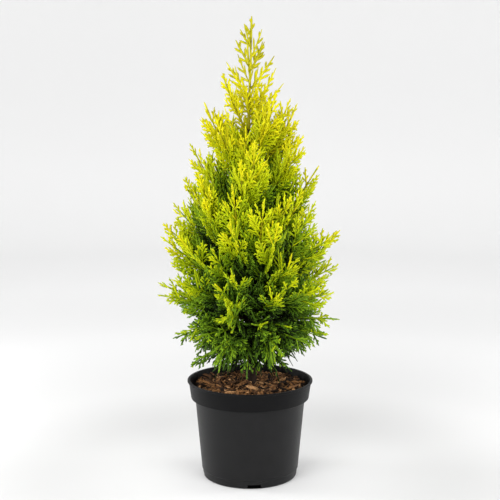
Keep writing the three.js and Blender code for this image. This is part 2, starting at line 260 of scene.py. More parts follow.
# Shoots of the bare leader
LEADER_HEIGHTS = (540, 645)
LEADER_SHOOTS = 13
LEADER_PITCH = (36, 60)
LEADER_LENGTH = (70, 34)
LEADER_START = 20
LEADER_END = 34

# Space that the foliage keeps to, the sizes that a shoot is tried at, and where along it
REACH_SLACK = 10
HANG_FROM = 164
TRUNK_MARGIN = 1.5
SOIL_MARGIN = 4
RIM_MARGIN = 4
TRIED_SIZES = (1, 0.85, 0.7, 0.55, 0.4)
TRIED_SHARES = (0.5, 0.75, 1)

# Fingers of a spray
FINGER_SEED = 23
FINGER_FROM = 11
FINGER_STEP = (4.5, 8.4)
FINGER_HEIGHTS = (500, 620)
FINGERS_LEAST = 3
FINGER_PLACE = (0.3, 0.7)
FINGER_CLEAR = 2
FINGER_SHARE = 0.56
FINGER_MOST = (6, 24)
FINGER_END = 0.84
FINGER_LEAST = 4.5
FINGER_FOOT = 0.5
FINGER_GROWTH = 3
FINGER_POWER = 0.65
FINGER_SPLAY = (40, 26)
FINGER_STRAY = 6
FINGER_LOOSE = 0.28
FINGER_WIDTH = (2.5, 3.3)
FINGER_THICKER = 1.3
FINGER_BEND = 0.16
FINGER_RINGS = ((0.14, 0.8), (0.74, 1))
LENGTH_STRAY = (0.8, 1.2)
FLATNESS = 0.5

# Leaflets: small fingers on the longer fingers
LEAFLET_FROM = 9
LEAFLET_HEIGHTS = (210, 575)
LEAFLET_STEP = 4.4
LEAFLET_ORDER = (0.2, 0.8)
LEAFLET_PLACE = (0.2, 0.86)
LEAFLET_SHARE = 0.42
LEAFLET_POWER = 0.5
LEAFLET_LENGTH = (4, 8)
LEAFLET_WIDTH = 2.6
LEAFLET_SPLAY = 42
LEAFLET_RINGS = ((0.6, 1),)

# Tints from the shaded inside to the sunlit tips, then the cooler greens of the foot of the crown. The
# darkest greens are painted shade, and the tint after gold is a darker gold painted as shade on the very top
TINTS = (
    # Painted shade deep inside the crown
    ("dark", "#1b2a05", "foliage_green"),
    ("deep", "#3d5609", "foliage_green"),
    ("green", "#6c880b", "foliage_green"),
    ("lime", "#a0b20a", "foliage_gold"),
    ("lemon", "#bbc30a", "foliage_gold"),
    ("gold", "#cec80c", "foliage_gold"),
    # A darker gold: painted shade on the very top of the crown, where the lamps light it most
    ("painted_shade_gold", "#b2ad0e", "foliage_gold"),
    # Painted shade deep inside the foot of the crown
    ("cool_dark", "#192908", "foliage_green"),
    ("cool_deep", "#426011", "foliage_green"),
    ("cool_green", "#72931b", "foliage_green"),
)
OLIVE = "#86800a"
LEAF_SHADES = (0.86, 1.1)
COOL_HEIGHT = 298
COOL_STRAY = 50
COOL_TINTS = 3

# Sun: where each tint gives way to the next, and the sun at the crown's skin and inside it by height
SUN_STEPS = (0.16, 0.32, 0.48, 0.65, 0.84, 1.22)
SUN_HEIGHTS = (150, 200, 280, 350, 430, 500, 560, 590, 620)
SUN_OUTER = (0.21, 0.37, 0.68, 0.8, 0.82, 0.94, 1, 1.05, 1.4)
SUN_INNER = (0.08, 0.12, 0.1, 0.12, 0.23, 0.64, 0.95, 1.05, 1.4)
SUN_DEPTHS = (8, 76)
SUN_PLACE = 0.6
SUN_STRAY = 0.12
SUN_ALONG = 0.3
SUN_MIDDLE = 0.45
LEAFLET_SUN = 0.05

# Materials
PATCH_DETAIL = 4
PATCH_RAMP = (0.3, 0.7)
GRAIN_DETAIL = 3

# Stage: its form, and its tones by distance from the pot's middle, from the floor out to the top of the wall
STAGE_SIDES = 96
STAGE_RINGS = (20, 600, 1600)
STAGE_FLAT = 2600
STAGE_BEND = 1000
STAGE_BEND_STEPS = 24
STAGE_TOP = 1900
# Painted light and shade: paler over the pot's contact shadow, a darker ring beyond it, a paler far floor and
# a shaded top to the wall
STAGE_PAINTED_TONES = (
    (120, "#e3e3e3"),
    (320, "#d2d2d2"),
    (540, "#dedede"),
    (1080, "#ededed"),
    (1900, "#fafafa"),
    (3200, "#fafafa"),
    (3700, "#f3f3f3"),
)

# Light: each lamp's name, place, size and power
LAMPS = (
    ("key", (-900, -1500, 1000), (1200, 1200), 22),
    ("fill", (1000, -1400, 900), (1200, 1200), 14),
    ("left", (-1300, 200, 600), (500, 1300), 11),
    ("right", (1300, 200, 600), (500, 1300), 7),
)
LAMP_TARGET = (0, 0, 380)
WORLD_LIGHT = 0.8

# Camera
CAMERA_PLACE = (0, -1559, 552)
CAMERA_PITCH = 7.51
CAMERA_LENS = 75.6


# Small helpers

def lerp(low, high, share):
    return low + (high - low) * share


def share_of(value, low, high):
    return np.clip((value - low) / (high - low), 0, 1)


def smooth_share(value, low, high):
    share = share_of(value, low, high)
    return share * share * (3 - 2 * share)


def unit(vectors):
    return vectors / np.linalg.norm(vectors, axis=-1, keepdims=True)


def channels(colour):
    """The red, green and blue, from 0 to 255, of a colour written as #rrggbb."""
    return [int(colour[start:start + 2], 16) for start in (1, 3, 5)]


def linear(colour):
    """A colour in the linear values that shaders take, from its sRGB ones."""
    parts = [channel / 255 for channel in channels(colour)]
    return [(p / 12.92 if p <= 0.04045 else ((p + 0.055) / 1.055) ** 2.4) for p in parts]


def shaded(colour, share):
    """A colour made darker, or lighter where the share is above one."""
    parts = [min(255, round(channel * share)) for channel in channels(colour)]
    return "#" + "".join(f"{part:02x}" for part in parts)


def seeded(seed):
    """The random numbers of the part's source, from 0 up to 1."""
    mask = 0xFFFFFFFF
    state = seed & mask

    def draw():
        nonlocal state
        state = (state + 0x6D2B79F5) & mask
        t = state
        t = ((t ^ (t >> 15)) * (t | 1)) & mask
        t ^= (t + (t ^ (t >> 7)) * (t | 61)) & mask
        return (t ^ (t >> 14)) / 2 ** 32

    return draw


# The growth rule of the part's source, carried on to finer branches and shoots

def trunk_at(height):
    height = np.asarray(height, float)
    share = (height - SOIL_TOP) / (TIP_HEIGHT - SOIL_TOP)
    x = SWAY[0] * np.cos(np.pi * SWAY_TURNS[0] * share)
    y = SWAY[1] * np.sin(np.pi * SWAY_TURNS[1] * share)
    return np.stack([x, y, height], -1)


def trunk_radius(height):
    share = share_of(height, SOIL_TOP, TIP_HEIGHT)
    flare = FLARE * np.exp(-(height - SOIL_TOP) / FLARE_HEIGHT)
    return TRUNK_FOOT_RADIUS * (1 - share) ** TRUNK_TAPER + TRUNK_TIP_RADIUS + flare


def crown_radius(height):
    cone = CROWN_RADIUS * (1 - share_of(height, WAIST_TOP, TIP_HEIGHT)) ** CONE_POWER
    drop = share_of(WAIST_LOW - np.asarray(height, float), 0, WAIST_LOW - SKIRT_FOOT)
    skirt = CROWN_RADIUS * np.sqrt(1 - drop * drop)
    return np.minimum(cone, skirt)


def heading(turn, pitch):
    level = math.cos(pitch)
    return np.array([math.cos(turn) * level, math.sin(turn) * level, math.sin(pitch)])


@dataclass
class Branch:
    """A branch: its curve's control points, turn about the trunk, roll, and two random sources among them."""
    node: int
    controls: np.ndarray
    turn: float
    roll: float
    span: float
    tip_height: float
    first: float
    draw: object
    other: object

    def at(self, share):
        t = np.asarray(share, float)[..., None]
        a, b, c, d = self.controls
        return (1 - t) ** 3 * a + 3 * (1 - t) ** 2 * t * b + 3 * (1 - t) * t * t * c + t ** 3 * d

    def axis(self, share):
        t = np.asarray(share, float)[..., None]
        a, b, c, d = self.controls
        return unit((1 - t) ** 2 * (b - a) + 2 * (1 - t) * t * (c - b) + t * t * (d - c))

    def ways(self, share):
        """The ways along the branch, across it and off its flat side."""
        axis = self.axis(share)
        level = np.array([-math.sin(self.turn), math.cos(self.turn), 0])
        off = unit(np.cross(axis, level))
        across = np.cross(off, axis)
        side = across * math.cos(self.roll) + off * math.sin(self.roll)
        return axis, side, np.cross(axis, side)


@dataclass
class Tier:
    """A set of branches on one spiral: how many, and what sets them apart from another set."""
    count: int
    seed: int
    crowding: float
    tips: tuple
    start: float
    reach: tuple
    upright: tuple
    roll: tuple
    first: tuple
    nodes: int = BRANCHES
    hang: float = 0


SOURCE_TIER = Tier(
    count=BRANCHES,
    seed=SEED,
    crowding=CROWDING,
    tips=(LOW_TIP, HIGH_TIP),
    start=SPIRAL_START,
    reach=REACH_SHARE,
    upright=(0, 0),
    roll=ROLL,
    first=FIRST_STATION,
)
FINER_TIER = Tier(
    count=FINER_BRANCHES,
    seed=FINER_SEED,
    crowding=FINER_CROWDING,
    tips=FINER_TIPS,
    start=FINER_START,
    reach=FINER_REACH,
    upright=FINER_UPRIGHT,
    roll=FINER_ROLL,
    first=FINER_FIRST,
)
SKIRT_TIER = Tier(
    count=SKIRT_BRANCHES,
    seed=SKIRT_SEED,
    crowding=SKIRT_CROWDING,
    tips=SKIRT_TIPS,
    start=FINER_START,
    reach=SKIRT_REACH,
    upright=SKIRT_UPRIGHT,
    roll=FINER_ROLL,
    first=FINER_FIRST,
    nodes=SKIRT_NODES,
    hang=HANG_FROM,
)


def branch_of(index, tier):
    draw = seeded(tier.seed + SEED_STEP * index)
    climb = 1 - (1 - (index + 0.5) / tier.count) ** tier.crowding
    tip_height = lerp(*tier.tips, climb) + (draw() - 0.5) * TIP_STRAY
    turn = math.radians(tier.start + SPIRAL_STEP * index + (draw() - 0.5) * SPIRAL_STRAY)
    reach = max(REACH_LEAST, crown_radius(max(tip_height, tier.hang)) * lerp(*tier.reach, draw()))
    steep = 1 - (1 - share_of(tip_height, LOW_TIP, HIGH_TIP)) ** PITCH_POWER
    tip_pitch = math.radians(min(TIP_PITCH[1], lerp(*TIP_PITCH, steep) + lerp(*tier.upright, steep)))
    foot_pitch = math.radians(lerp(*FOOT_PITCH, steep))
    drop = reach * math.tan((tip_pitch + foot_pitch) / 2) * FOOT_RISE
    foot = trunk_at(max(SOIL_TOP + LOWEST_FOOT, tip_height - drop))
    tip = np.array([reach * math.cos(turn), reach * math.sin(turn), tip_height])
    span = float(np.linalg.norm(tip - foot))
    after_foot = foot + heading(turn, foot_pitch) * BEND * span
    before_tip = tip - heading(turn, tip_pitch) * BEND * span
    return Branch(
        node=int((index + 0.5) / tier.count * tier.nodes),
        controls=np.array([foot, after_foot, before_tip, tip]),
        turn=turn,
        roll=math.radians(lerp(*tier.roll, draw())),
        span=span,
        tip_height=tip_height,
        first=np.clip(FIRST_CLEAR / span, *tier.first),
        draw=draw,
        other=seeded(tier.seed + FINER_SEED + SEED_STEP * index),
    )


def station_shares(branch):
    run = LAST_STATION - branch.first
    count = int(np.clip(math.floor(branch.span * run / STATION_SPACING + 0.5), *STATIONS))
    return lerp(branch.first, LAST_STATION, np.arange(count + 1) / count)


@dataclass
class Shoot:
    """A shoot that carries one flat spray. Its edge way lies in the spray, square to the shoot."""
    node: int
    at: np.ndarray
    way: np.ndarray
    edge: np.ndarray
    length: float
    bend: np.ndarray

    def place(self, shares):
        """The points at shares of the way along the shoot."""
        shares = np.asarray(shares, float)[:, None]
        return self.at + self.way * self.length * shares + self.bend * shares ** 2


def into_quarter(way, ways, quarter):
    """A way turned as far as it needs to stand off the stem and to lie well inside a quarter of it."""
    axis, side, face = ways
    along = min(way @ axis, math.cos(math.radians(SPLAY_LEAST)))
    out = math.sqrt(1 - along * along)
    middle = (quarter + 0.5) * math.pi / 2
    turn = math.atan2(way @ face, way @ side)
    swing = math.radians(QUARTER_SWING)
    off = middle + np.clip((turn - middle + math.pi) % (2 * math.pi) - math.pi, -swing, swing)
    return axis * along + side * out * math.cos(off) + face * out * math.sin(off)


def square_to(way, other):
    return unit(other - way * (other @ way))


def shoot_at(branch, share, quarter, draw):
    ways = branch.ways(share)
    axis, side, face = ways
    lift = lerp(*LIFT, share_of(branch.tip_height, *LIFT_HEIGHTS))
    splay = math.radians(lerp(*SPLAY, share) + (draw() - 0.5) * SPLAY_STRAY)
    tilt = math.radians(TILT + (draw() - 0.5) * TILT_STRAY) * (1 if quarter < 2 else -1)
    hand = 1 if quarter in (0, 3) else -1
    out = side * math.cos(tilt) * hand + face * math.sin(tilt)
    free = unit(axis * math.cos(splay) + out * math.sin(splay) + UP * lift)
    way = into_quarter(free, ways, quarter)
    shrink = SPRAY_SHARE * (1 - share) ** SPRAY_POWER * lerp(*SPRAY_STRAY, draw())
    slim = min(1, branch.span / SLIM_SPAN)
    length = min(SPRAY_MOST, branch.span * shrink + SPRAY_LEAST) * slim
    bend = UP * length * SHOOT_BEND * np.sign(lift)
    return Shoot(branch.node, branch.at(share), way, square_to(way, axis), length, bend)


def whole_shoot(branch):
    """A short branch as one shoot along its whole length."""
    foot, tip = branch.at(0), branch.at(1)
    axis, side, _ = branch.ways(0)
    return Shoot(branch.node, foot, axis, side, branch.span, tip - foot - axis * branch.span)


def shoots_of(branch):
    """The source's sprays, others from the two quarters that it leaves plain, and the branch's own end."""
    if branch.span < SPRAY_SPAN:
        return [whole_shoot(branch)]
    shares = station_shares(branch)
    shoots = []
    for draw, shift, place in ((branch.draw, 0, OWN_PLACE), (branch.other, 1, OTHER_PLACE)):
        for station, (low, high) in enumerate(zip(shares, shares[1:])):
            first = (station + shift) % 2
            share = lerp(low, high, place)
            if shift and share > OTHER_TO:
                break
            for quarter in (first, first + 2):
                shoots.append(shoot_at(branch, share, quarter, draw))
    axis, _, face = branch.ways(LAST_STATION)
    length = branch.span * END_SHARE + END_LEAST
    shoots.append(Shoot(branch.node, branch.at(LAST_STATION), axis, face, length, np.zeros(3)))
    return shoots


def leader_shoots():
    """Small shoots that clothe the leader above the last long branches, and its own end."""
    draw = seeded(FINER_SEED)
    shoots = []
    for i in range(LEADER_SHOOTS):
        share = i / (LEADER_SHOOTS - 1)
        at = trunk_at(lerp(*LEADER_HEIGHTS, share))
        pitch = math.radians(lerp(*LEADER_PITCH, share))
        way = heading(math.radians(LEADER_START + SPIRAL_STEP * i), pitch)
        length = lerp(*LEADER_LENGTH, share) * lerp(*SPRAY_STRAY, draw())
        bend = UP * length * SHOOT_BEND
        shoots.append(Shoot(BRANCHES - 1, at, way, square_to(way, UP), length, bend))
    foot = trunk_at(TIP_HEIGHT - LEADER_END)
    tip = trunk_at(TIP_HEIGHT)
    shoots.append(Shoot(BRANCHES - 1, foot, unit(tip - foot), EAST, LEADER_END, np.zeros(3)))
    return shoots


def in_space(points):
    """Which points lie within the crown's reach, clear of the brown trunk, the mix and the pot's rim."""
    x, y, z = points[..., 0], points[..., 1], points[..., 2]
    from_axis = np.hypot(x, y)
    inside = from_axis <= crown_radius(np.maximum(z, HANG_FROM)) + REACH_SLACK
    low = z < POT_HEIGHT + RIM_MARGIN
    in_pot = (z > SOIL_TOP + SOIL_MARGIN) & (from_axis < inner_radius(SOIL_EDGE) - RIM_MARGIN)
    from_trunk = np.linalg.norm(points - trunk_at(z), axis=-1)
    clear = (from_trunk > trunk_radius(z) + TRUNK_MARGIN) | (z > GREEN_LEADER)
    return inside & clear & (~low | in_pot)


def fitted(shoot):
    """The shoot at the largest size that keeps to the foliage's space, if any does."""
    for size in TRIED_SIZES:
        smaller = replace(shoot, length=shoot.length * size, bend=shoot.bend * size)
        if in_space(smaller.place(TRIED_SHARES)).all():
            return smaller
    return None


# Leaves

@dataclass
class Sprigs:
    """Pointed leafy fingers as arrays, one row for each. Their height is about that of their spray's foot."""
    node: np.ndarray
    height: np.ndarray
    root: np.ndarray
    way: np.ndarray
    side: np.ndarray
    bend: np.ndarray
    length: np.ndarray
    width: np.ndarray
    sun: np.ndarray

    def pick(self, which):
        return Sprigs(*(getattr(self, field.name)[which] for field in fields(self)))

    def place(self, share):
        """The points at a share of the way along the fingers: one for all, or one for each."""
        share = np.broadcast_to(np.asarray(share, float), self.length.shape)[:, None]
        return self.root + self.way * (self.length[:, None] * share) + self.bend * share ** 2


def joined(groups):
    """Several groups of fingers as one."""
    columns = ([getattr(group, field.name) for group in groups] for field in fields(Sprigs))
    return Sprigs(*(np.concatenate(column) for column in columns))


def sun_of(shoot, rng):
    """How much sun a spray gets: about 0 deep inside at the foot, 1 at the tips and more at the very top. The
    least sun gives the painted shade of the darkest greens, the most the darker gold painted as shade on the
    top.
    """
    middle = shoot.at + shoot.way * shoot.length * SUN_PLACE
    depth = smooth_share(crown_radius(middle[2]) - np.hypot(middle[0], middle[1]), *SUN_DEPTHS)
    outer = np.interp(middle[2], SUN_HEIGHTS, SUN_OUTER)
    inner = np.interp(middle[2], SUN_HEIGHTS, SUN_INNER)
    return lerp(outer, inner, depth) + rng.uniform(-SUN_STRAY, SUN_STRAY)


def splayed(along, edge, off, angles, numbers, rng):
    """The ways of fingers that leave a line at angles, to its two edges by turns, each with a stray."""
    count = len(numbers)
    splay = np.radians(angles + rng.uniform(-FINGER_STRAY, FINGER_STRAY, count))[:, None]
    loose = rng.uniform(-FINGER_LOOSE, FINGER_LOOSE, count)[:, None]
    hand = np.where(numbers % 2, 1.0, -1.0)[:, None]
    return unit(along * np.cos(splay) + edge * hand * np.sin(splay) + off * loose)


def fingers_of(shoot, rng):
    """Fingers along both edges of a shoot, alternate, shorter towards its point."""
    high = share_of(shoot.at[2], *FINGER_HEIGHTS)
    step = lerp(*FINGER_STEP, high)
    count = max(FINGERS_LEAST, int((shoot.length - FINGER_CLEAR) / step))
    number = np.arange(count)
    order = (number + rng.uniform(*FINGER_PLACE, count)) / count
    share = lerp(FINGER_CLEAR / shoot.length, FINGER_END, order)
    along = unit(shoot.way * shoot.length + 2 * shoot.bend * share[:, None])
    edge = unit(shoot.edge - along * (along @ shoot.edge)[:, None])
    off = np.cross(along, edge)
    way = splayed(along, edge, off, lerp(*FINGER_SPLAY, share), number, rng)
    most = np.clip(FINGER_SHARE * shoot.length, *FINGER_MOST)
    profile = np.minimum(1, FINGER_FOOT + FINGER_GROWTH * share) * (1 - share) ** FINGER_POWER
    length = np.maximum(FINGER_LEAST, most * profile * rng.uniform(*LENGTH_STRAY, count))
    width = lerp(*FINGER_WIDTH, share_of(length, FINGER_LEAST, FINGER_MOST[1]))
    return Sprigs(
        node=np.full(count, shoot.node),
        height=np.full(count, shoot.at[2] + rng.uniform(-COOL_STRAY, COOL_STRAY)),
        root=shoot.place(share),
        way=way,
        side=unit(np.cross(off, way)),
        bend=(along - way) * (length * FINGER_BEND)[:, None],
        length=length,
        width=width * lerp(1, FINGER_THICKER, high),
        sun=sun_of(shoot, rng) + SUN_ALONG * (share - SUN_MIDDLE),
    )


def leaflets_of(fingers, rng):
    """Leaflets along the longer fingers, alternate on their edges."""
    low, high = LEAFLET_HEIGHTS
    height = fingers.root[:, 2]
    long = fingers.pick((fingers.length > LEAFLET_FROM) & (height > low) & (height < high))
    counts = (long.length / LEAFLET_STEP).astype(int) - 1
    parent = long.pick(np.repeat(np.arange(len(counts)), counts))
    number = np.arange(counts.sum()) - np.repeat(np.cumsum(counts) - counts, counts)
    total = len(number)
    order = (number + rng.uniform(*LEAFLET_ORDER, total)) / np.repeat(counts, counts)
    share = lerp(*LEAFLET_PLACE, order)
    off = np.cross(parent.way, parent.side)
    way = splayed(parent.way, parent.side, off, LEAFLET_SPLAY, number, rng)
    length = np.clip(LEAFLET_SHARE * parent.length * (1 - share) ** LEAFLET_POWER, *LEAFLET_LENGTH)
    length = length * rng.uniform(*LENGTH_STRAY, total)
    return Sprigs(
        node=parent.node,
        height=parent.height,
        root=parent.place(share),
        way=way,
        side=unit(np.cross(off, way)),
        bend=(parent.way - way) * (length * FINGER_BEND)[:, None],
        length=length,
        width=np.full(total, LEAFLET_WIDTH),
        sun=parent.sun + LEAFLET_SUN,
    )


# Meshes from arrays

def fan(centre, ring, sides):
    """Triangles from a centre point to a ring of points, given the numbers of it and of the ring's first."""
    corner = np.arange(sides)
    return np.stack([np.full(sides, centre), ring + corner, ring + (corner + 1) % sides], -1)


def bands(rings, sides, first):
    """Triangles between rings of points that follow each other from a first point's number."""
    corner = np.arange(sides)
    ring = first + sides * np.arange(rings - 1)[:, None]
    low, low_after = ring + corner, ring + (corner + 1) % sides
    high, high_after = low + sides, low_after + sides
    halves = [np.stack([low, low_after, high_after], -1), np.stack([low, high_after, high], -1)]
    return np.stack(halves).reshape(-1, 3)


def closed_skin(rings, sides, first, foot, tip):
    """Triangles of rings of points, closed at a foot point and at a tip point."""
    last = first + sides * (rings - 1)
    return np.vstack([fan(foot, first, sides)[:, ::-1], bands(rings, sides, first), fan(tip, last, sides)])


def spread(template, count, step):
    """A template's triangles repeated for count copies whose points follow each other."""
    return (template[None] + step * np.arange(count)[:, None, None]).reshape(-1, 3)


def together(shapes):
    """Several shapes as one."""
    starts = np.cumsum([0] + [len(points) for points, _ in shapes])
    triangles = [faces + start for (_, faces), start in zip(shapes, starts)]
    return np.vstack([points for points, _ in shapes]), np.vstack(triangles)


def spindles(sprigs, rings):
    """Pointed four-sided leaves, with rings given as shares of the length and of the width."""
    corners = ((1, 0), (0, 1), (-1, 0), (0, -1))
    half = sprigs.width[:, None] / 2
    off = np.cross(sprigs.way, sprigs.side)
    layers = [sprigs.place(0)]
    for share, width in rings:
        centre = sprigs.place(share)
        for across, thick in corners:
            layers.append(centre + (sprigs.side * across + off * thick * FLATNESS) * half * width)
    layers.append(sprigs.place(1))
    points = np.stack(layers, 1).reshape(-1, 3)
    triangles = closed_skin(len(rings), len(corners), 1, 0, len(layers) - 1)
    return points, spread(triangles, len(half), len(layers))


def tubes(lines, radii, across, sides):
    """Closed round limbs along lines of shape (limbs, steps, 3), with a radius at each step."""
    limbs, steps = radii.shape
    along = unit(np.gradient(lines, axis=1))
    across = np.broadcast_to(across[:, None, :], lines.shape)
    side = unit(across - along * (across * along).sum(-1, keepdims=True))
    off = np.cross(along, side)
    angles = 2 * np.pi * np.arange(sides) / sides
    ring = side[:, :, None] * np.cos(angles)[:, None] + off[:, :, None] * np.sin(angles)[:, None]
    skin = (lines[:, :, None] + ring * radii[:, :, None, None]).reshape(limbs, -1, 3)
    points = np.concatenate([skin, lines[:, :1], lines[:, -1:]], 1)
    triangles = closed_skin(steps, sides, 0, steps * sides, steps * sides + 1)
    return points.reshape(-1, 3), spread(triangles, limbs, points.shape[1])


def revolved(rings, sides):
    """The points of [radius, height] rings about the upright axis."""
    rings = np.array(rings, float)
    angles = 2 * np.pi * np.arange(sides) / sides
    return np.stack([
        rings[:, :1] * np.cos(angles),
        rings[:, :1] * np.sin(angles),
        np.repeat(rings[:, 1:], sides, 1),
    ], -1).reshape(-1, 3)


def turned(profile, sides):
    """A closed body of revolution, from [radius, height] points between two on the axis."""
    (_, foot), *rings, (_, top) = profile
    skin = revolved(rings, sides)
    triangles = closed_skin(len(rings), sides, 0, len(skin), len(skin) + 1)
    return np.vstack([skin, UP * foot, UP * top]), triangles


def rounded(corners):
    """Points along a line through [x, y, radius] corners, each rounded by an arc of about that radius."""
    points = []
    for i, (x, y, radius) in enumerate(corners):
        here = np.array([x, y], float)
        if not radius:
            points.append(here)
            continue
        before = unit(np.array(corners[i - 1][:2], float) - here)
        after = unit(np.array(corners[i + 1][:2], float) - here)
        reach = radius / math.tan(math.acos(np.clip(before @ after, -1, 1)) / 2)
        for t in np.linspace(0, 1, ROUND_STEPS):
            points.append(here + before * reach * (1 - t) ** 2 + after * reach * t ** 2)
    return points


def box(low, high):
    """A box between two corners."""
    points = np.array(list(product(*zip(low, high))))
    quads = ((0, 1, 3, 2), (4, 6, 7, 5), (0, 4, 5, 1), (2, 3, 7, 6), (0, 2, 6, 4), (1, 5, 7, 3))
    triangles = [(a, b, c) for a, b, c, _ in quads] + [(a, c, d) for a, _, c, d in quads]
    return points, np.array(triangles)


def mesh_object(name, points, triangles, material, smooth=True):
    mesh = bpy.data.meshes.new(name)
    mesh.vertices.add(len(points))
    mesh.vertices.foreach_set("co", (np.asarray(points) * MM).astype(np.float32).ravel())
    mesh.loops.add(triangles.size)
    mesh.loops.foreach_set("vertex_index", triangles.astype(np.int32).ravel())
    mesh.polygons.add(len(triangles))
    mesh.polygons.foreach_set("loop_start", np.arange(0, triangles.size, 3, dtype=np.int32))
    mesh.update(calc_edges=True)
    mesh.validate()
    if smooth:
        mesh.shade_smooth()
    else:
        mesh.shade_flat()
    mesh.materials.append(material)
    made = bpy.data.objects.new(name, mesh)
    SCENE.collection.objects.link(made)
    return made


def piece(name, shape, material, nodes, smooth=True):
    """A piece of the plant that stands for CAD nodes."""
    made = mesh_object(name, *shape, material, smooth)
    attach(made, "root")
    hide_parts(*nodes)
    return made


# Materials

def varied(name, dark, light, *, patches, roughness, grain, relief, stretch=(1, 1, 1), specular=0.5):
    """A material whose colour and roughness wander in patches, with a fine grain in relief."""
    made = bpy.data.materials.new(name)
    made.use_nodes = True
    nodes = made.node_tree.nodes
    link = made.node_tree.links.new
    shader = nodes["Principled BSDF"]
    shader.inputs["Specular IOR Level"].default_value = specular
    coordinates = nodes.new("ShaderNodeTexCoord")
    mapping = nodes.new("ShaderNodeMapping")
    mapping.inputs["Scale"].default_value = stretch
    link(coordinates.outputs["Object"], mapping.inputs["Vector"])

    def noise_node(scale, detail):
        node = nodes.new("ShaderNodeTexNoise")
        node.inputs["Scale"].default_value = scale
        node.inputs["Detail"].default_value = detail
        link(mapping.outputs["Vector"], node.inputs["Vector"])
        return node

    wander = noise_node(patches, PATCH_DETAIL)
    ramp = nodes.new("ShaderNodeValToRGB")
    for element, position, colour in zip(ramp.color_ramp.elements, PATCH_RAMP, (dark, light)):
        element.position = position
        element.color = (*linear(colour), 1)
    link(wander.outputs["Fac"], ramp.inputs["Fac"])
    link(ramp.outputs["Color"], shader.inputs["Base Color"])
    gloss = nodes.new("ShaderNodeMapRange")
    gloss.inputs["To Min"].default_value = roughness[0]
    gloss.inputs["To Max"].default_value = roughness[1]
    link(wander.outputs["Fac"], gloss.inputs["Value"])
    link(gloss.outputs["Result"], shader.inputs["Roughness"])
    bump = nodes.new("ShaderNodeBump")
    bump.inputs["Strength"].default_value = relief
    bump.inputs["Distance"].default_value = MM
    link(noise_node(grain, GRAIN_DETAIL).outputs["Fac"], bump.inputs["Height"])
    link(bump.outputs["Normal"], shader.inputs["Normal"])
    return made


def pot_material(name, dark, light, roughness, specular):
    return varied(
        name, dark, light, patches=60, roughness=roughness, grain=1800, relief=0.12, specular=specular,
    )


# Near black: partly the mix's own colour, partly painted shade for the gaps between the chips
def soil_material():
    return varied(
        "mix_soil", "#0c0704", "#1c110a",
        patches=220, roughness=(0.9, 1.0), grain=700, relief=0.9, specular=0.1,
    )


def chip_material(name, colour):
    dark, light = (shaded(colour, shade) for shade in CHIP_SHADES)
    return varied(
        name, dark, light, patches=320, roughness=(0.75, 0.95), grain=900, relief=0.8, specular=0.15,
    )


# The bark is near black: partly its own dark brown, partly painted shade for the deep shade round the trunk's
# foot
def bark_material():
    return varied(
        "bark", "#160f0a", "#33241a",
        patches=90, roughness=(0.8, 0.95), grain=500, relief=0.7, stretch=(1, 1, 0.22), specular=0.2,
    )


def leaf_material(name, colour):
    dark, light = (shaded(colour, shade) for shade in LEAF_SHADES)
    return varied(
        name, dark, light, patches=160, roughness=(0.5, 0.65), grain=1400, relief=0.25, specular=0.12,
    )


def stage_material():
    """Pale grey that changes with distance, painted light and shade, so that floor and wall look alike under
    the lights.
    """
    (near, near_tone), *between, (far, far_tone) = STAGE_PAINTED_TONES
    made = varied("stage_pale", near_tone, far_tone, patches=1, roughness=(0.85, 0.9), grain=40, relief=0.02)
    tree = made.node_tree
    ramp = tree.nodes["Color Ramp"]
    ramp.color_ramp.interpolation = "EASE"
    ramp.color_ramp.elements[0].position = near / far
    ramp.color_ramp.elements[1].position = 1
    for radius, tone in between:
        ramp.color_ramp.elements.new(radius / far).color = (*linear(tone), 1)
    coordinates = tree.nodes["Texture Coordinate"]
    length = tree.nodes.new("ShaderNodeVectorMath")
    length.operation = "LENGTH"
    tree.links.new(coordinates.outputs["Object"], length.inputs[0])
    share = tree.nodes.new("ShaderNodeMath")
    share.operation = "DIVIDE"
    share.inputs[1].default_value = far * MM
    tree.links.new(length.outputs["Value"], share.inputs[0])
    tree.links.new(share.outputs["Value"], ramp.inputs["Fac"])
    return made


# Pot

def inner_radius(height):
    if height < BAND_LOW:
        return lerp(FOOT_RADIUS, WALL_TOP_RADIUS, height / BAND_LOW) - WALL
    return lerp(BAND_LOW_RADIUS, BAND_TOP_RADIUS, (height - BAND_LOW) / BAND_HEIGHT) - WALL


def pot_profile():
    lip_low = POT_HEIGHT - LIP_HEIGHT
    foot_step = inner_radius(FOOT_STEP_HEIGHT) + WALL
    step_low = BAND_LOW - INNER_STEP_LOW
    step_high = BAND_LOW + INNER_STEP_HIGH
    return rounded([
        (0, 0, 0),
        (FOOT_RADIUS - FOOT_STEP_IN, 0, FOOT_FILLET),
        (foot_step - FOOT_STEP_IN, FOOT_STEP_HEIGHT - FOOT_STEP_IN, FOOT_STEP_ROUND),
        (foot_step, FOOT_STEP_HEIGHT, FOOT_STEP_ROUND),
        (WALL_TOP_RADIUS, BAND_LOW - BAND_STEP, BAND_ROUND[0]),
        (BAND_LOW_RADIUS, BAND_LOW, BAND_ROUND[1]),
        (BAND_TOP_RADIUS, lip_low, LIP_UNDER_ROUND),
        (LIP_RADIUS, lip_low + LIP_SLOPE, LIP_EDGE_ROUND[0]),
        (LIP_RADIUS, POT_HEIGHT, LIP_EDGE_ROUND[1]),
        (BAND_TOP_RADIUS - WALL, POT_HEIGHT, LIP_INNER_ROUND),
        (inner_radius(step_high), step_high, INNER_ROUND),
        (inner_radius(step_low), step_low, INNER_ROUND),
        (inner_radius(FLOOR), FLOOR, FLOOR_ROUND),
        (0, FLOOR, 0),
    ])


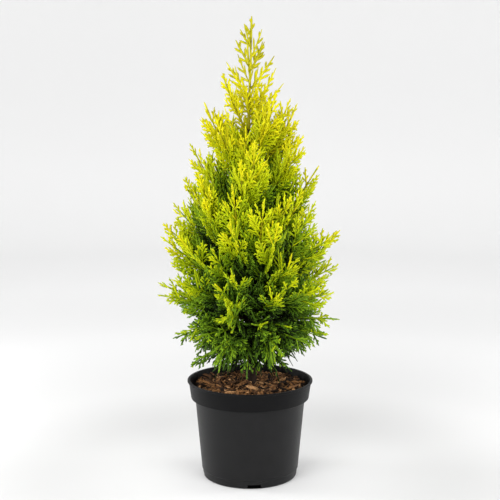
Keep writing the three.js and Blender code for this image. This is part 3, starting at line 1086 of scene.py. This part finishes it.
def cut_notches(pot, material):
    """Cuts the drain notches into the pot's foot, and removes the boxes that cut them."""
    low = (FOOT_RADIUS - NOTCH_DEPTH, -NOTCH_WIDTH / 2, NOTCH_SILL)
    high = (FOOT_RADIUS + NOTCH_DEPTH, NOTCH_WIDTH / 2, NOTCH_HEIGHT)
    cutters = bpy.data.collections.new("notches")
    for i in range(NOTCHES):
        cutter = mesh_object(f"notch_{i}", *box(low, high), material)
        SCENE.collection.objects.unlink(cutter)
        cutters.objects.link(cutter)
        cutter.rotation_euler.z = math.radians(NOTCH_TURN + i * 360 / NOTCHES)
    cut = pot.modifiers.new("notches", "BOOLEAN")
    cut.operand_type = "COLLECTION"
    cut.collection = cutters
    cut.solver = "EXACT"
    whole = pot.data
    pot.data = bpy.data.meshes.new_from_object(pot.evaluated_get(bpy.context.evaluated_depsgraph_get()))
    pot.modifiers.clear()
    bpy.data.meshes.remove(whole)
    for cutter in list(cutters.objects):
        bpy.data.objects.remove(cutter)
    bpy.data.collections.remove(cutters)


def make_pot():
    black = pot_material("pot_plastic", "#0a0a0b", "#0f0f10", roughness=(0.4, 0.5), specular=0.24)
    # Above the band's foot the plastic is darker and less glossy
    band = pot_material("pot_band", "#060607", "#09090a", roughness=(0.42, 0.52), specular=0.12)
    pot = piece("pot_shell", turned(pot_profile(), POT_SIDES), black, ["pot"])
    cut_notches(pot, black)
    pot.data.set_sharp_from_angle(angle=math.radians(SHARP_ANGLE))
    pot.data.materials.append(band)
    for face in pot.data.polygons:
        if face.center.z > BAND_LOW * MM:
            face.material_index = 1


# Potting mix

def bed_height(radius):
    return lerp(SOIL_TOP, SOIL_EDGE, share_of(radius, SOIL_SEAT_RADIUS, inner_radius(SOIL_EDGE))) - BED_DROP


def make_bed():
    """The dark mix under the chips, with an uneven top."""
    outer = inner_radius(SOIL_EDGE) - BED_TOP_GAP
    radii = np.linspace(BED_MIDDLE, outer, BED_RINGS)
    top = [(radius, bed_height(radius)) for radius in radii[::-1]]
    foot = SOIL_EDGE - BED_DEPTH
    low = inner_radius(foot) - BED_FOOT_GAP
    points, triangles = turned([(0, foot), (low, foot)] + top + [(0, bed_height(0))], BED_SIDES)
    for point in points[BED_SIDES:-2]:
        if math.hypot(point[0], point[1]) < outer - BED_EVEN_RIM:
            point[2] += BED_ROUGH * noise.noise(Vector(point) * BED_LUMPS)
    piece("mix_bed", (points, triangles), soil_material(), ["potting_mix"])


def chips(rng, count, lengths, slenderness, thickness, tilt):
    """Irregular flakes of bark, scattered evenly over the mix and lying nearly flat."""
    each_corner = (count, CHIP_CORNERS)
    length = rng.uniform(*lengths, count)
    width = length * rng.uniform(*slenderness, count)
    thick = rng.uniform(*thickness, count)
    stray = rng.uniform(-CHIP_CORNER_STRAY, CHIP_CORNER_STRAY, each_corner)
    angle = 2 * np.pi * (np.arange(CHIP_CORNERS) + stray) / CHIP_CORNERS
    jag = rng.uniform(*CHIP_JAG, each_corner)
    rim = np.stack([
        np.cos(angle) * jag * length[:, None] / 2,
        np.sin(angle) * jag * width[:, None] / 2,
    ], -1)
    bow = rng.uniform(*CHIP_BOW, count)[:, None] * rim[..., 0] ** 2 / length[:, None]
    rise = thick[:, None] * rng.uniform(*CHIP_EDGE, each_corner)
    low = np.concatenate([rim, bow[..., None]], -1)
    high = np.concatenate([rim * CHIP_TOP, (bow + rise)[..., None]], -1)
    crest = UP * (thick * rng.uniform(*CHIP_CREST, count))[:, None, None]
    points = np.concatenate([low, high, crest], 1)
    for first, second, most in ((1, 2, tilt), (0, 2, tilt), (0, 1, 180)):
        turn = np.radians(rng.uniform(-most, most, count))[:, None]
        a, b = points[..., first].copy(), points[..., second].copy()
        points[..., first] = a * np.cos(turn) - b * np.sin(turn)
        points[..., second] = a * np.sin(turn) + b * np.cos(turn)
    outer = inner_radius(SOIL_EDGE) - length / 2 - CHIP_GAP
    radius = np.sqrt(rng.uniform(*CHIP_AREA, count)) * outer
    turn = rng.uniform(0, 2 * np.pi, count)
    height = bed_height(radius) + rng.uniform(0, CHIP_RISE, count)
    points += np.stack([radius * np.cos(turn), radius * np.sin(turn), height], -1)[:, None]
    underside = [(0, corner + 1, corner) for corner in range(1, CHIP_CORNERS - 1)]
    top = fan(2 * CHIP_CORNERS, CHIP_CORNERS, CHIP_CORNERS)
    triangles = np.vstack([bands(2, CHIP_CORNERS, 0), top, underside])
    return points.reshape(-1, 3), spread(triangles, count, 2 * CHIP_CORNERS + 1)


def make_chips():
    rng = np.random.default_rng(CHIP_SEED)
    for name, colour, share in CHIP_TINTS:
        bark = chip_material(f"chip_{name}", colour)
        shapes = [chips(rng, round(count * share), *sizes) for count, *sizes in CHIP_KINDS]
        piece(f"chips_{name}", together(shapes), bark, ["potting_mix"], smooth=False)


# Trunk, boughs and stems

def relief_at(place, height, pattern):
    """How far a pattern of the bark stands out at a place."""
    across, along, share = pattern
    return share * noise.noise(Vector((place[0] * across, place[1] * across, height * along)))


def fissured(line, radii, across, sides):
    """A limb whose radius follows the ridges and cracks of bark."""
    points, triangles = tubes(line[None], radii[None], across[None], sides)
    for ring, centre in zip(points[:-2].reshape(-1, sides, 3), line):
        for point in ring:
            out = point - centre
            ridge = relief_at(out, centre[2], RIDGES)
            crack = relief_at(point, centre[2], CRACKS)
            point += out * BARK_RELIEF * (ridge + crack)
    return points, triangles


def make_trunk(bark, olive):
    brown = np.arange(SOIL_TOP - BED_DROP, GREEN_LEADER + TRUNK_ROW, TRUNK_ROW)
    lower = fissured(trunk_at(brown), trunk_radius(brown), EAST, TRUNK_SIDES)
    piece("trunk_bark", lower, bark, ["trunk"])
    green = np.arange(GREEN_LEADER, TIP_HEIGHT, LEADER_ROW)
    upper = tubes(trunk_at(green)[None], trunk_radius(green)[None], EAST[None], LEADER_SIDES)
    piece("trunk_leader", upper, olive, ["trunk"])


def make_boughs(own, bark):
    """The bare feet of the longest branches."""
    longest = sorted(own, key=lambda branch: -branch.span)[:BOUGHS]
    shares = np.linspace(0, BOUGH_SHARE, BOUGH_STEPS)
    radii = lerp(*BOUGH_RADIUS, shares / BOUGH_SHARE)
    shapes = [fissured(branch.at(shares), radii, branch.ways(0)[1], BOUGH_SIDES) for branch in longest]
    names = [f"bough_{branch.node + 1:02d}" for branch in longest]
    piece("boughs_bark", together(shapes), bark, names)


def stem_radius(branch, share):
    thin = lerp(STEM_THINNEST, 1, np.clip(branch.span / STEM_FULL_SPAN, 0, 1))
    return thin * lerp(*STEM_RADIUS, share)


def brown_share(branch):
    """How far along a branch its bark is brown: the young ones at the top are green all along."""
    return BROWN_SHARE * (1 - share_of(branch.tip_height, *BROWN_HEIGHTS))


def foliage_nodes(numbers):
    return [f"foliage_{number + 1:02d}" for number in sorted(set(numbers))]


def make_stems(name, branches, material, brown=False):
    """The brown parts of branches' stems, or the green parts beyond them."""
    lines, radii, across = [], [], []
    for branch in branches:
        change = brown_share(branch)
        ends = (0, change) if brown else (change, STEM_END)
        shares = np.linspace(*ends, STEM_STEPS)
        lines.append(branch.at(shares))
        radii.append(stem_radius(branch, shares))
        across.append(branch.ways(shares[0])[1])
    shape = tubes(np.stack(lines), np.stack(radii), np.stack(across), STEM_SIDES)
    piece(name, shape, material, foliage_nodes(branch.node for branch in branches))


def make_limbs(own, finer, bark, green, olive):
    make_boughs(own, bark)
    long = [branch for branch in own + finer if branch.span >= SPRAY_SPAN]
    barked = [branch for branch in long if branch.tip_height < BROWN_HEIGHTS[1]]
    low = [branch for branch in long if branch.tip_height < OLIVE_STEMS]
    high = [branch for branch in long if branch.tip_height >= OLIVE_STEMS]
    make_stems("stems_brown", barked, bark, brown=True)
    make_stems("stems_green", low, green)
    make_stems("stems_olive", high, olive)


# Foliage

def tint_of(sun, height):
    """The numbers of the tints for shares of sun, with the cool greens at the foot of the crown."""
    number = np.searchsorted(SUN_STEPS, sun)
    cool = (height < COOL_HEIGHT) & (number < COOL_TINTS)
    return np.where(cool, number + len(TINTS) - COOL_TINTS, number)


def make_shoots(shoots, materials):
    """The shoots' own axes, as thin limbs."""
    rng = np.random.default_rng(FINGER_SEED)
    sun = np.array([sun_of(shoot, rng) for shoot in shoots])
    shares = np.linspace(0, 1, SHOOT_STEPS)
    lines = np.stack([shoot.place(shares) for shoot in shoots])
    height = lines[:, 0, 2]
    radius = lerp(*SHOOT_RADIUS, share_of(height, *FINGER_HEIGHTS))
    radii = np.repeat(radius[:, None], SHOOT_STEPS, 1)
    radii[:, -1] *= SHOOT_POINT
    across = np.stack([shoot.edge for shoot in shoots])
    node = np.array([shoot.node for shoot in shoots])
    tint = tint_of(sun, height)
    for number, (name, _, slot) in enumerate(TINTS):
        which = tint == number
        shape = tubes(lines[which], radii[which], across[which], SHOOT_SIDES)
        piece(f"shoots_{name}", shape, materials[name], foliage_nodes(node[which].tolist()))


def make_foliage(shoots, materials):
    """The fingers and the leaflets, a piece for each tint that any of them has."""
    rng = np.random.default_rng(FINGER_SEED)
    fingers = joined([fingers_of(shoot, rng) for shoot in shoots if shoot.length > FINGER_FROM])
    fingers = fingers.pick(in_space(fingers.place(1)))
    leaflets = leaflets_of(fingers, rng)
    leaflets = leaflets.pick(in_space(leaflets.place(1)))
    for kind, sprigs, rings in (("fingers", fingers, FINGER_RINGS), ("leaflets", leaflets, LEAFLET_RINGS)):
        tint = tint_of(sprigs.sun, sprigs.height)
        for number, (name, _, slot) in enumerate(TINTS):
            which = tint == number
            if which.any():
                chosen = sprigs.pick(which)
                nodes = foliage_nodes(chosen.node.tolist())
                piece(f"{kind}_{name}", spindles(chosen, rings), materials[name], nodes)


# Stage, light and camera

def make_stage():
    """A pale floor that rises into a low round wall on all sides."""
    rings = [(radius, 0) for radius in STAGE_RINGS]
    for bend in np.linspace(0, math.pi / 2, STAGE_BEND_STEPS):
        rings.append((STAGE_FLAT + STAGE_BEND * math.sin(bend), STAGE_BEND - STAGE_BEND * math.cos(bend)))
    rings.append((STAGE_FLAT + STAGE_BEND, STAGE_TOP))
    skin = revolved(rings, STAGE_SIDES)
    middle = fan(len(skin), 0, STAGE_SIDES)
    triangles = np.vstack([middle, bands(len(rings), STAGE_SIDES, 0)[:, ::-1]])
    stage = mesh_object("floor", np.vstack([skin, np.zeros(3)]), triangles, stage_material())


def make_lamp(name, place, size, power):
    data = bpy.data.lights.new(name, "AREA")
    data.shape = "RECTANGLE"
    data.size = size[0] * MM
    data.size_y = size[1] * MM
    data.energy = power
    lamp = bpy.data.objects.new(name, data)
    lamp.location = Vector(place) * MM
    lamp.rotation_euler = (Vector(LAMP_TARGET) - Vector(place)).to_track_quat("-Z", "Y").to_euler()
    SCENE.collection.objects.link(lamp)


def make_light():
    world = bpy.data.worlds.new("studio")
    world.use_nodes = True
    SCENE.world = world
    background = world.node_tree.nodes["Background"]
    background.inputs["Color"].default_value = (1, 1, 1, 1)
    background.inputs["Strength"].default_value = WORLD_LIGHT
    for lamp in LAMPS:
        make_lamp(*lamp)
    SCENE.view_settings.view_transform = "Standard"


def make_camera():
    data = bpy.data.cameras.new("camera")
    data.lens = CAMERA_LENS
    camera = bpy.data.objects.new("camera", data)
    camera.location = Vector(CAMERA_PLACE) * MM
    camera.rotation_euler = (math.radians(90 - CAMERA_PITCH), 0, 0)
    SCENE.collection.objects.link(camera)
    SCENE.camera = camera


# Assembly

def main():
    make_camera()
    make_light()
    make_stage()
    make_pot()
    make_bed()
    make_chips()
    materials = {name: leaf_material(f"leaf_{name}", colour) for name, colour, _ in TINTS}
    bark = bark_material()
    olive = leaf_material("leaf_olive", OLIVE)
    make_trunk(bark, olive)
    own = [branch_of(index, SOURCE_TIER) for index in range(BRANCHES)]
    finer = [branch_of(index, tier) for tier in (FINER_TIER, SKIRT_TIER) for index in range(tier.count)]
    make_limbs(own, finer, bark, materials["green"], olive)
    shoots = [shoot for branch in own + finer for shoot in shoots_of(branch)] + leader_shoots()
    shoots = [shoot for shoot in map(fitted, shoots) if shoot]
    make_shoots(shoots, materials)
    make_foliage(shoots, materials)


main()
